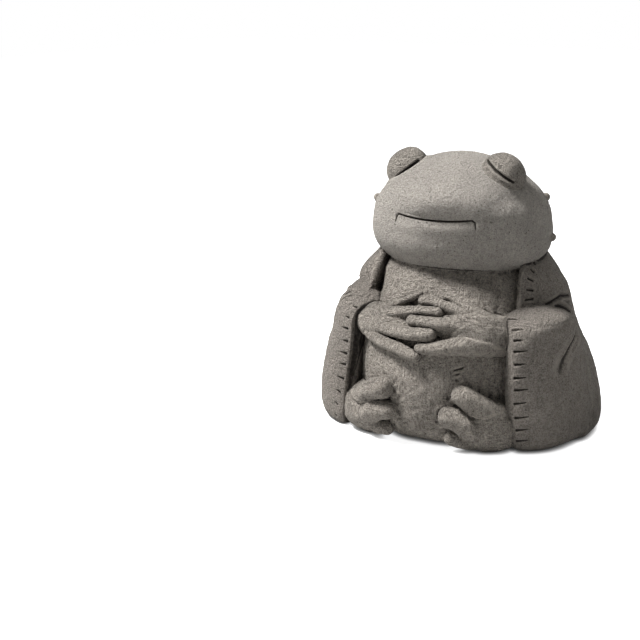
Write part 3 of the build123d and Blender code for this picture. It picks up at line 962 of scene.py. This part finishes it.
# %% The eyelids' surfaces
ahead = np.array((0.0, -1.0, 0.0))
lid_rows, lid_columns = 130, 170
for side, sign in sides.items():
    centre, along, over = eye_axes(sign)
    polar = spaced(0.03, math.pi - 0.03, lid_rows)[:, None, None]
    last_turn = 2 * math.pi * (1 - 1 / lid_columns)
    turn = spaced(0, last_turn, lid_columns, (math.pi, 0.5, 1.5))[None, :, None]
    around = np.sin(turn) * over + np.cos(turn) * ahead
    lid = centre - eye_half_length * np.cos(polar) * along + eye_radius * np.sin(polar) * around
    normals = outward(lid)
    rise = worked(lid, 0.4, 0.25)
    rise += fillet(head_gap(lid), blend_reach(lid, sign)) * 0.8
    # The slit is cut as it is seen from the front, so depth along y doesn't count
    slit_line = np.array([centre + a * along + b * over for a, b in slit_places[side]])
    slit = cut(lid * (1, 0, 1), slit_line * (1, 0, 1), width=1.25, depth=4.2, lip=0.3)
    slit = np.where((lid - centre) @ ahead > 0, slit, 0)
    rise += slit
    rise += push(lid, centre + 12 * over + 8 * ahead, 14, crown_push[side])
    lid = lid + rise[..., None] * normals
    # Painted shade in the slit
    piece(f"{side}_lid", [lid], lid_stone, [f"{side}_eyelid"], [np.clip(-slit / 1.5, 0, 1)])

# %% [markdown]
# ## The warts
#
# Small domes stand on the sides and back of the head. They are the same few rings of points,
# moved to places on the head's ovals.

# %% The warts' surfaces
wart_radius, wart_proud = 4.3, 3.2
# Height as a share of the head's, and heading: 0 is straight ahead, 1 straight back
wart_places = {
    "left": ((0.645, 0.62), (0.35, 0.54), (0.54, 0.7), (0.78, 0.76)),
    "right": ((0.6, 0.4), (0.4, 0.58), (0.6, 0.68), (0.8, 0.8)),
}
polar = np.linspace(0.05, math.pi - 0.05, 18)[:, None]
turn = np.arange(28)[None, :] / 28 * 2 * math.pi
ball = (np.sin(polar) * np.cos(turn), np.sin(polar) * np.sin(turn), np.cos(polar) + 0 * turn)
ball = np.stack(ball, -1)
warts = []
for side, sign in sides.items():
    for level, heading in wart_places[side]:
        width, front, back = sizes_at(head_levels, head_size, np.array(level * head_size["height"]))
        reach = front if heading < 0.5 else back
        sunk = wart_radius - wart_proud
        place = np.array((
            sign * (width - sunk) * math.sin(math.pi * heading),
            -head_forward - (reach - sunk) * math.cos(math.pi * heading),
            head_bottom + level * head_size["height"],
        ))
        wart = place + wart_radius * ball
        warts.append(wart + (0.35 * swells(wart, 2.5))[..., None] * ball)
piece("warts", warts, lid_stone, ["head_warts"])

# %% [markdown]
# ## The robe
#
# Seen from above the robe is a horseshoe: an outer wall round the back, an inner wall hidden
# against the body, and two lapels in front. Its columns run out along the outer wall and back
# along the inner one, so the lapels' edges are part of the same grid. Modelling it as a thick
# sheet over the body would be closer to cloth, but this robe was never cloth: it is clay.

# %% Edges of the opening
cuff_top_height, lapel_bottom = 131.0, 114.0
lapel_half_gap, lapel_top_half_gap, opening_back = 73.0, 68.0, 12.0
hem_rise, hem_width = 3.0, 13.0
# Height, the bevel's inner edge, its outer edge, and how far the inner edge lies behind the outer
bevel_levels = {
    "left": (
        (0, 84.5, 89, 3.0), (20, 82.5, 87.8, 3.5), (47, 78.5, 86.2, 3.5), (66, 77, 84.5, 4.0),
        (90, 75.5, 83, 6.5), (109, 72.5, 80.8, 9.0), (117, 70, 79, 10.0), (124, 66, 75.5, 10.0),
        (127, 66, 73, 8.0), (130, 73, 79, 6.0), (133, 79, 85, 4.0), (141, 82, 88, 3.0),
    ),
    "right": (
        (0, 87, 90, 5.0), (20, 85.5, 88.8, 7.0), (44, 83, 87, 9.0), (66, 80, 84.5, 10.0),
        (90, 78, 83, 10.0), (109, 76, 81.8, 10.0), (117, 72, 79, 9.0), (122, 65, 74.5, 7.0),
        (126, 62, 69, 6.0), (130, 66, 72, 5.0), (134, 72, 77, 4.0), (141, 76, 80, 3.0),
    ),
}


def lapel_edge(z):
    """Half the gap between the lapels at a height."""
    climb = np.clip((z - cuff_top_height) / (robe_size["height"] - cuff_top_height), 0, 1)
    return lapel_half_gap - climb * (lapel_half_gap - lapel_top_half_gap)


def bevel_at(side, z):
    """A cuff's inner edge, its outer edge and the bevel's depth at a height."""
    return np.moveaxis(columns_at(bevel_levels[side], np.asarray(z, float)), -1, 0)


def soften(grid, passes):
    """Rounds a grid's edges: each point moves to the mean of itself and its column neighbours."""
    for _ in range(passes):
        grid = 0.5 * grid + 0.25 * (np.roll(grid, 1, 1) + np.roll(grid, -1, 1))
    return grid


print("lapels' half gap at the top:", lapel_edge(robe_size["height"]))

# %% The robe's outer wall, from one lapel round the back to the other
rows, half = 250, 190
lip_columns, lip_width, lip_depth = 3, 4.0, 3.0
hidden_step = 6.0
z = spaced(0, robe_size["height"], rows, (3, 4, 2), (160, 25, 1))
drawn_in = sizes_at(robe_levels, robe_size, z) - tuck(z, "robe")[:, None]
width, front, back = (v[:, None] for v in drawn_in.T)
# Below the lapels, behind the cuffs, the opening is a little wider
edge = np.where(z < lapel_bottom, lapel_half_gap + hidden_step, lapel_edge(z))[:, None]
turn_at_edge = np.arcsin(np.clip((edge + lip_width) / width, 0, 1))
share = spaced(0, 1, half - 2 * lip_columns, (0, 0.06, 2.0), (1, 0.06, 2.0))[None, :]
turn = turn_at_edge + share * (2 * math.pi - 2 * turn_at_edge)
reach = np.where(np.cos(turn) > 0, front, back)
x_wall, y_wall = width * np.sin(turn), robe_setback - reach * np.cos(turn)
lip = np.linspace(0, 1, lip_columns + 1)[None, :-1]
x_start = edge + lip * (x_wall[:, :1] - edge)
y_start = y_wall[:, :1] + (1 - lip) * lip_depth
outer = np.stack((
    np.concatenate((x_start, x_wall, -x_start[:, ::-1]), 1),
    np.concatenate((y_start, y_wall, y_start[:, ::-1]), 1),
), -1)
print("outer wall:", outer.shape)

# %% The robe's inner wall and its whole grid
face_columns, hidden_depth = 60, 50
inwards = np.linspace(0, 1, face_columns)[None, :]
y_face = y_start[:, :1] + inwards * (-opening_back - y_start[:, :1])
x_face = edge + 0 * inwards
around = np.linspace(0, 1, half - 2 * face_columns)[None, :]
x_hidden = x_face[:, -1:] * np.cos(math.pi * around)
y_hidden = -opening_back + hidden_depth * np.sin(math.pi * around) + 0 * edge
inner = np.stack((
    np.concatenate((x_face, x_hidden, -x_face[:, ::-1]), 1),
    np.concatenate((y_face, y_hidden, y_face[:, ::-1]), 1),
), -1)
plan = np.concatenate((outer, inner[:, ::-1]), 1)
robe = np.concatenate((plan, np.broadcast_to(z[:, None, None], (rows, 2 * half, 1))), -1)
robe = soften(robe, 2)
print("robe grid:", robe.shape)

# %% Folds, pushes and stitches of the robe
robe_folds = (
    (((93, -32, 133), (97, -25, 134), (101, -14, 136), (103, -4, 137), (104, 18, 133)), 2.0, 2.4),
    (((100, -22, 131), (103, -13, 129), (106, -4, 126), (109, 10, 118)), 1.8, 2.0),
)
robe_pushes = (((-98, -34, 150), 20, 7.0), ((-100, -28, 141), 10, 2.0))
# Side and height of both ends of each stitch beside the lapels
lapel_stitches = (
    ((80, 139.5), (87, 140.0)), ((80, 149.0), (86, 147.0)), ((78.5, 159.0), (84, 155.0)),
    ((78.5, 166.0), (82.5, 162.0)), ((77, 172.0), (81, 168.0)),
    ((-76.5, 163.0), (-77.5, 159.5)), ((-78, 155.5), (-79.5, 152.0)), ((-82, 148.5), (-84, 145.5)),
    ((-80.5, 145.0), (-81.5, 143.5)),
)


def on_robe(x, z):
    """The point of the robe's front at a place in the front view."""
    wide, front, _ = sizes_at(robe_levels, robe_size, np.array(float(z)))
    return x, robe_setback - front * math.sqrt(1 - (x / wide) ** 2), z


normals = outward(robe)
rise = worked(robe, 0.9, 0.25)
for line, fold_width, fold_depth in robe_folds:
    rise += cut(robe, line, fold_width, fold_depth, 1.2)
for place, radius, amount in robe_pushes:
    rise += push(robe, place, radius, amount)
for ends in lapel_stitches:
    rise += cut(robe, [on_robe(*end) for end in ends], width=1.3, depth=2.4, lip=0.3)
print("folds:", len(robe_folds), "lapel stitches:", len(lapel_stitches))

# %% The robe's painted shade and its piece
# Painted shade under the head
robe_shade = crease_shade(head_gap(robe), 3.0)
# The narrow faces of the lapels beside the chest get painted shade
beside_chest = np.clip((lapel_edge(robe[..., 2]) + 1.5 - np.abs(robe[..., 0])) / 2, 0, 1)
beside_chest = beside_chest * (robe[..., 1] < -opening_back) * (robe[..., 2] > 110)
robe_shade = np.maximum(robe_shade, 0.5 * beside_chest)
# The painted shade in the line beside the sleeves is darkest in front
near_front = np.clip((20 - robe[..., 1]) / 30, 0.25, 1)
for side in sides:
    gap = sleeve_gap(robe, side)
    rise += 0.6 * fillet(gap, 6.0)
    robe_shade = np.maximum(robe_shade, 0.5 * crease_shade(gap, 2.0) * near_front)
robe = robe + rise[..., None] * normals
piece("robe_skin", [robe], brushed_stone, ["robe"], [robe_shade])

# %% [markdown]
# ## The sleeves
#
# Each hangs over the forearm as a thick lobe with a flat bevelled edge beside the belly. The
# stitches beside the edge were cut into the clay one by one, so they vary a little. A repeated
# stitch would be quicker to write, but it would look printed.


# %% The sleeve's grid
def sleeve_grid(side, z, half=120, lip_columns=7):
    """A sleeve's ring of points at each height: bevel, outer wall and flat inner face.

    The wall is x = cx + w * sin(a), y = cy - d * cos(a), from the bevel's outer edge round to
    the inner face. Behind the bevel it stands hem_rise * exp(-(distance / hem_width)^2) proud.
    """
    top = sleeve_heights[side]
    across, forward, wide, deep = columns_at(sleeve_levels[side], z / top).T[:, :, None]
    centre_x, centre_y = across * sleeve_side, -forward * sleeve_forward
    pull = tuck(z, f"{side}_sleeve")[:, None]
    wide, deep = wide * sleeve_width - pull, deep * sleeve_depth - pull
    # Both edges stay on the oval where it closes at the top
    edge, hem_edge, bevel_depth = bevel_at(side, z)[:, :, None]
    edge = np.minimum(edge, centre_x + 0.6 * wide)
    bevel = np.minimum(hem_edge - edge, 0.3 * wide)
    start_share = np.clip((edge + bevel - centre_x) / wide, -0.98, 0.98)
    back_share = np.clip((edge - centre_x) / wide, -0.98, 0.98)
    turn_start, turn_end = np.arcsin(start_share), math.pi - np.arcsin(back_share)
    share = spaced(0, 1, half - lip_columns, (0.05, 0.05, 4.0))[None, :]
    turn = turn_start + share * (turn_end - turn_start)
    x_wall = centre_x + wide * np.sin(turn)
    y_wall = centre_y - deep * np.cos(turn)
    past = np.clip(x_wall - x_wall[:, :1], 0, None) / hem_width
    hem = hem_rise * np.exp(-(past**2)) * np.clip((top - z[:, None]) / 25, 0, 1)
    y_wall = y_wall - np.where(np.cos(turn) > 0, hem, 0)
    lip = np.linspace(0, 1, lip_columns + 1)[None, :-1]
    x_lip = edge + lip * (x_wall[:, :1] - edge)
    y_lip = y_wall[:, :1] + bevel_depth * bevel / (hem_edge - edge + 0.1) * (1 - lip)
    inwards = np.linspace(0, 1, half)[None, :]
    x_face = edge + 0 * inwards
    y_face = y_lip[:, :1] + inwards * (y_wall[:, -1:] - y_lip[:, :1])
    x = np.concatenate((x_lip, x_wall, x_face[:, ::-1]), 1)
    y = np.concatenate((y_lip, y_wall, y_face[:, ::-1]), 1)
    grid = np.stack((sides[side] * x, y, np.broadcast_to(z[:, None], x.shape)), -1)
    return soften(grid, 1)


sleeve_rows = 270
print("sleeve grid:", sleeve_grid("left", np.linspace(0, 100, 5)).shape)


# %% The stitches beside the cuffs
def wedge(grid, line, width, depth):
    """A mark pressed in with a corner of the tool, deep at its start and running out.

    It is depth * (1 - along)^0.6 * exp(-(d / width)^2), d being the distance to the line, and it
    narrows as it runs out.
    """
    distance, along = to_line(grid, line)
    left = np.clip(1 - along, 0, 1)
    return -depth * left**0.6 * np.exp(-((distance / (width * (0.45 + 0.55 * left))) ** 2))


# Height of each stitch, how far behind the bevel it starts, its length and its rise
stitch_rows = {
    "left": (
        (126.3, -1.5, 12, 1.5), (119.8, 2.5, 12.5, 1.8), (110.2, 3.5, 9.5, 1.6),
        (100, 3.2, 12.5, 1.8), (88, 3.6, 10, 1.5), (75.3, 2.8, 11, 1.4), (63.8, 3.2, 12.5, 1.9),
        (50.5, 1.6, 11.5, 2.5), (37, 2, 13, 2.6), (25, 3, 11.5, 2.6), (14, 3, 11.5, 2.8),
    ),
    "right": (
        (121.5, 4.5, 7.5, 0.5), (110, 5.5, 6.5, 0.9), (98.6, 5.2, 10, 0), (86.2, 4.6, 7.5, 0),
        (74, 4, 9.5, 0.4), (62.8, 3.8, 8, 0.2), (48.2, 3.6, 8, 1.8), (34, 6, 6.5, 3),
        (21, 8, 7, 3.4), (8, 8.5, 7, 3),
    ),
}
stitch_width, stitch_depths = 1.15, {"left": 2.6, "right": 2.3}


def stitch_line(side, height, behind, run, slant):
    """Both ends of a stitch on the sleeve's wall, hem included."""
    near = float(bevel_at(side, height)[1]) + behind
    places = np.array((near, near + run))
    heights = np.array((height, height + slant))
    across, forward, wide, deep = columns_at(sleeve_levels[side], heights / sleeve_heights[side]).T
    from_middle = (places - across * sleeve_side) / (wide * sleeve_width)
    on_oval = np.sqrt(np.clip(1 - from_middle**2, 0, 1))
    fronts = -forward * sleeve_forward - deep * sleeve_depth * on_oval
    fronts -= hem_rise * np.exp(-(((places - near) / hem_width) ** 2))
    return np.stack((sides[side] * places, fronts, heights), -1)


print("stitches:", {side: len(rows) for side, rows in stitch_rows.items()})

# %% Folds and pushes of the sleeves, and how much painted shade the strip beside the belly gets
sleeve_folds = {
    "left": (
        (((128, -26, 114), (127, -38, 107), (125, -50, 98), (123, -57, 87), (121, -62, 76)), 5.0, 1.7),
        (((127, -34, 110), (126, -46, 102), (123, -56, 89)), 1.6, 0.6),
        (((108, 4, 119), (109, 18, 114), (111, 30, 108)), 2.2, 2.0),
    ),
    "right": (
        (((-82, -71, 134), (-93, -66, 132), (-104, -60, 127)), 1.8, 1.8),
        (((-84, -70, 131), (-96, -66, 127), (-106, -61, 120)), 1.8, 1.6),
        (((-119, -14, 112), (-122, -38, 102), (-122, -52, 90), (-121, -62, 77)), 5.0, 1.6),
    ),
}
sleeve_pushes = {"left": (), "right": (((-106, -36, 136), 14, -2.5),)}
strip_shade = {"left": 0.15, "right": 0.6}
print("folds:", {side: len(lines) for side, lines in sleeve_folds.items()})

# %% The sleeves' surfaces
for side in sides:
    top = sleeve_heights[side]
    z = spaced(0, top - 0.4, sleeve_rows, (2, 4, 2), (top, 6, 3))
    sleeve = sleeve_grid(side, z)
    normals = outward(sleeve)
    rise = worked(sleeve, 0.8, 0.22)
    rise += 0.3 * fillet(oval_gap(sleeve, robe_levels, robe_size, 0, robe_setback), 6.0)
    for place, radius, amount in sleeve_pushes[side]:
        rise += push(sleeve, place, radius, amount)
    stitches = np.zeros(sleeve.shape[:-1])
    for row in stitch_rows[side]:
        stitches += wedge(sleeve, stitch_line(side, *row), stitch_width, stitch_depths[side])
    rise += stitches
    for line, fold_width, fold_depth in sleeve_folds[side]:
        rise += cut(sleeve, line, fold_width, fold_depth, 0.8)
    # Painted shade in the stitches, beside the hand and the belly, and on the strip beside the belly
    sleeve_shade = np.clip(-stitches / 1.6, 0, 1)
    sleeve_shade = np.maximum(sleeve_shade, crease_shade(limb_gap(sleeve, *limbs[f"{side}_hand"]), 2.0))
    sleeve_shade = np.maximum(sleeve_shade, 0.6 * crease_shade(torso_gap(sleeve), 3.0))
    hem_edge = bevel_at(side, z)[1][:, None]
    strip = np.clip((hem_edge - 0.5 - np.abs(sleeve[..., 0])) / 1.5, 0, 1)
    strip = strip * np.clip((126 - z) / 6, 0, 1)[:, None]
    sleeve_shade = np.maximum(sleeve_shade, strip_shade[side] * strip)
    sleeve = sleeve + rise[..., None] * normals
    piece(f"{side}_sleeve_skin", [sleeve], brushed_stone, [f"{side}_sleeve"], [sleeve_shade])

# %% [markdown]
# ## Hands and fingers
#
# The forearm comes out of the cuff and flattens into the hand. The fingers of both hands lie
# between each other, and each knows its neighbours, so painted shade darkens the clay where they meet.

# %% The hands' and fingers' surfaces
for name in hand_courses:
    side = name.split("_")[0]
    fingers = [other for other in finger_courses if other.startswith(side)]
    hand = limb(name, rows=130, columns=96, flat=hand_flatness)
    hand, painted_shade = settle(hand, beside_limbs(*fingers), reach=6.0, coarse=0.9, fine=0.5)
    # Painted shade where the fingers meet the hand
    piece(f"{name}_skin", [hand], skin_stone, [name], [painted_shade * 0.4])
for name in finger_courses:
    side = name.split("_")[0]
    neighbours = [*beside_limbs(f"{side}_hand"), torso_gap]
    finger, painted_shade = settle(limb(name, rows=110), neighbours, reach=4.5, coarse=0.35, fine=0.3)
    for other in finger_courses:
        if other != name:
            painted_shade = np.maximum(painted_shade, crease_shade(limb_gap(finger, *limbs[other]), 1.2))
    # Painted shade lies only where the finger stands free of the hand
    free = np.clip(1.1 - np.abs(finger[..., 0]) / 70, 0, 1)
    piece(f"{name}_skin", [finger], skin_stone, [name], [painted_shade * 0.9 * free])

# %% [markdown]
# ## Feet and toes
#
# Each foot is a mound against the cuff with a flattened limb laid over it, and its toes turn
# inwards over the belly.


# %% The mound of a foot
foot_side, foot_forward, foot_rise, foot_radius, foot_half_height = 62.0, 72.0, 17.0, 29.0, 30.0


def foot_mound(sign, rows=100, columns=140):
    """An egg that stands on the ground: its radius is R * sqrt(1 - ((z - middle) / H)^2)."""
    z = spaced(0.0, foot_rise + foot_half_height - 0.2, rows, (2, 3, 1), (46.8, 3, 2))
    swell = foot_radius * np.sqrt(1 - ((z - foot_rise) / foot_half_height) ** 2) - tuck(z, "foot")
    swell = np.maximum(swell, 0.3)[:, None]
    turn = np.arange(columns)[None, :] / columns * 2 * math.pi
    x = sign * foot_side + swell * np.sin(turn)
    y = -foot_forward - swell * np.cos(turn)
    return np.stack((x, y, np.broadcast_to(z[:, None], (rows, columns))), -1)


print("foot mound:", foot_mound(1).shape)

# %% The feet's and toes' surfaces
for side, sign in sides.items():
    toes = [name for name in toe_courses if name.startswith(side)]
    body_name = f"{side}_foot_body"
    mound, mound_shade = settle(
        foot_mound(sign), [*beside_limbs(*toes), torso_gap], reach=10.0, coarse=0.7, fine=0.35
    )
    body = limb(body_name, rows=110, columns=120, flat=foot_flatness)
    body, body_shade = settle(body, [torso_gap], reach=8.0, coarse=0.9, fine=0.5)
    body[..., 2] = np.maximum(body[..., 2], 0.5)
    # Painted shade where the foot meets its toes and the belly
    foot_shade = [mound_shade * 0.2, body_shade * 0.5]
    piece(f"{side}_foot_skin", [mound, body], skin_stone, [f"{side}_foot"], foot_shade)
    for name in toes:
        others = [other for other in toes if other != name]
        neighbours = [*beside_limbs(*others, body_name), torso_gap]
        toe = limb(name, rows=110, columns=64)
        toe, painted_shade = settle(toe, neighbours, reach=6.0, coarse=0.6, fine=0.45)
        toe[..., 2] = np.maximum(toe[..., 2], 0.3)
        # The toes part only towards their tips
        parted = np.clip((58 - np.abs(toe[..., 0])) / 22, 0, 1)
        # Painted shade where the toe meets its neighbours, the foot and the belly
        piece(f"{name}_skin", [toe], skin_stone, [name], [painted_shade * 0.9 * parted])

# %% [markdown]
# ## Floor, light and camera
#
# The figure stands on a white floor in a studio. The floor and the backdrop are white to the
# camera through the Light Path node, while the object itself is lit plainly: a strong lamp high
# on the viewer's left, a weak one low on the right, a soft one overhead, and a dim sky. Raising
# the lamps until the floor turned white would be simpler, but it would wash out the stone.

# %% The floor
floor_mesh = bpy.data.meshes.new("floor")
corners = ((-4, -4, 0), (4, -4, 0), (4, 6, 0), (-4, 6, 0))
floor_mesh.from_pydata(corners, [], [(0, 1, 2, 3)])
floor = bpy.data.objects.new("floor", floor_mesh)
bpy.context.scene.collection.objects.link(floor)
floor_material = bpy.data.materials.new("white_floor")
floor_material.use_nodes = True
tree = floor_material.node_tree
tree.nodes.clear()
paint = tree.nodes.new("ShaderNodeBsdfDiffuse")
paint.inputs["Color"].default_value = (0.6, 0.6, 0.6, 1)
glow = tree.nodes.new("ShaderNodeEmission")
glow.inputs["Color"].default_value = (1, 1, 1, 1)
path = tree.nodes.new("ShaderNodeLightPath")
seen = math_node(tree, "MAXIMUM", path.outputs["Is Camera Ray"], path.outputs["Is Glossy Ray"])
seen = math_node(tree, "MAXIMUM", seen, path.outputs["Is Transmission Ray"])
# The white glow fades close to the figure into a painted contact shadow, where the real floor sees no
# light
near = tree.nodes.new("ShaderNodeAmbientOcclusion")
near.inputs["Distance"].default_value = 0.005
near.samples = 16
fade = math_node(tree, "POWER", near.outputs["AO"], 1.3)
strength = math_node(tree, "MULTIPLY", seen, fade)
tree.links.new(math_node(tree, "MULTIPLY", strength, 0.9), glow.inputs["Strength"])
both = tree.nodes.new("ShaderNodeAddShader")
output = tree.nodes.new("ShaderNodeOutputMaterial")
tree.links.new(paint.outputs[0], both.inputs[0])
tree.links.new(glow.outputs[0], both.inputs[1])
tree.links.new(both.outputs[0], output.inputs["Surface"])
floor_mesh.materials.append(floor_material)
print("floor:", floor_material.name)

# %% The backdrop and the dim sky
world = bpy.data.worlds.new("studio")
bpy.context.scene.world = world
world.use_nodes = True
tree = world.node_tree
sky = tree.nodes["Background"]
sky.inputs["Color"].default_value = (1.0, 1.0, 1.0, 1)
path = tree.nodes.new("ShaderNodeLightPath")
seen = math_node(tree, "MAXIMUM", path.outputs["Is Camera Ray"], path.outputs["Is Transmission Ray"])
level = tree.nodes.new("ShaderNodeMapRange")
level.inputs["To Min"].default_value = 0.19
level.inputs["To Max"].default_value = 1.0
tree.links.new(seen, level.inputs["Value"])
tree.links.new(level.outputs["Result"], sky.inputs["Strength"])
print("sky:", round(level.inputs["To Min"].default_value, 2))

# %% The lamps
figure_middle = np.array((0, 0, 0.14))


def lamp(name, place, size, power):
    """A square soft lamp at a place in metres that shines at the figure's middle."""
    light = bpy.data.lights.new(name, "AREA")
    light.size = size
    light.energy = power
    obj = bpy.data.objects.new(name, light)
    obj.location = place
    towards = figure_middle - place
    obj.rotation_euler = (
        math.atan2(math.hypot(towards[0], towards[1]), -towards[2]),
        0.0,
        math.atan2(towards[1], towards[0]) - math.pi / 2,
    )
    bpy.context.scene.collection.objects.link(obj)
    return obj


lamps = (
    lamp("key", (-0.93, -0.47, 1.63), 0.4, 97),
    lamp("fill", (1.35, -0.2, 0.7), 1.0, 1.6),
    lamp("overhead", (0.4, 0.3, 1.6), 1.2, 9),
)
print("lamps:", [obj.name for obj in lamps])

# %% The camera, a little to the left of the frog's face and looking down at it
camera = bpy.data.cameras.new("camera")
camera.lens = 73.125
camera.sensor_width = 36.0
camera_object = bpy.data.objects.new("camera", camera)
camera_object.location = (0.45300608, -1.18012118, 0.44047897)
camera_object.rotation_euler = (math.radians(74.786796), 0, math.radians(27.453824))
bpy.context.scene.collection.objects.link(camera_object)
bpy.context.scene.camera = camera_object
bpy.context.scene.view_settings.view_transform = "Standard"
print("camera:", camera.lens, "mm lens")
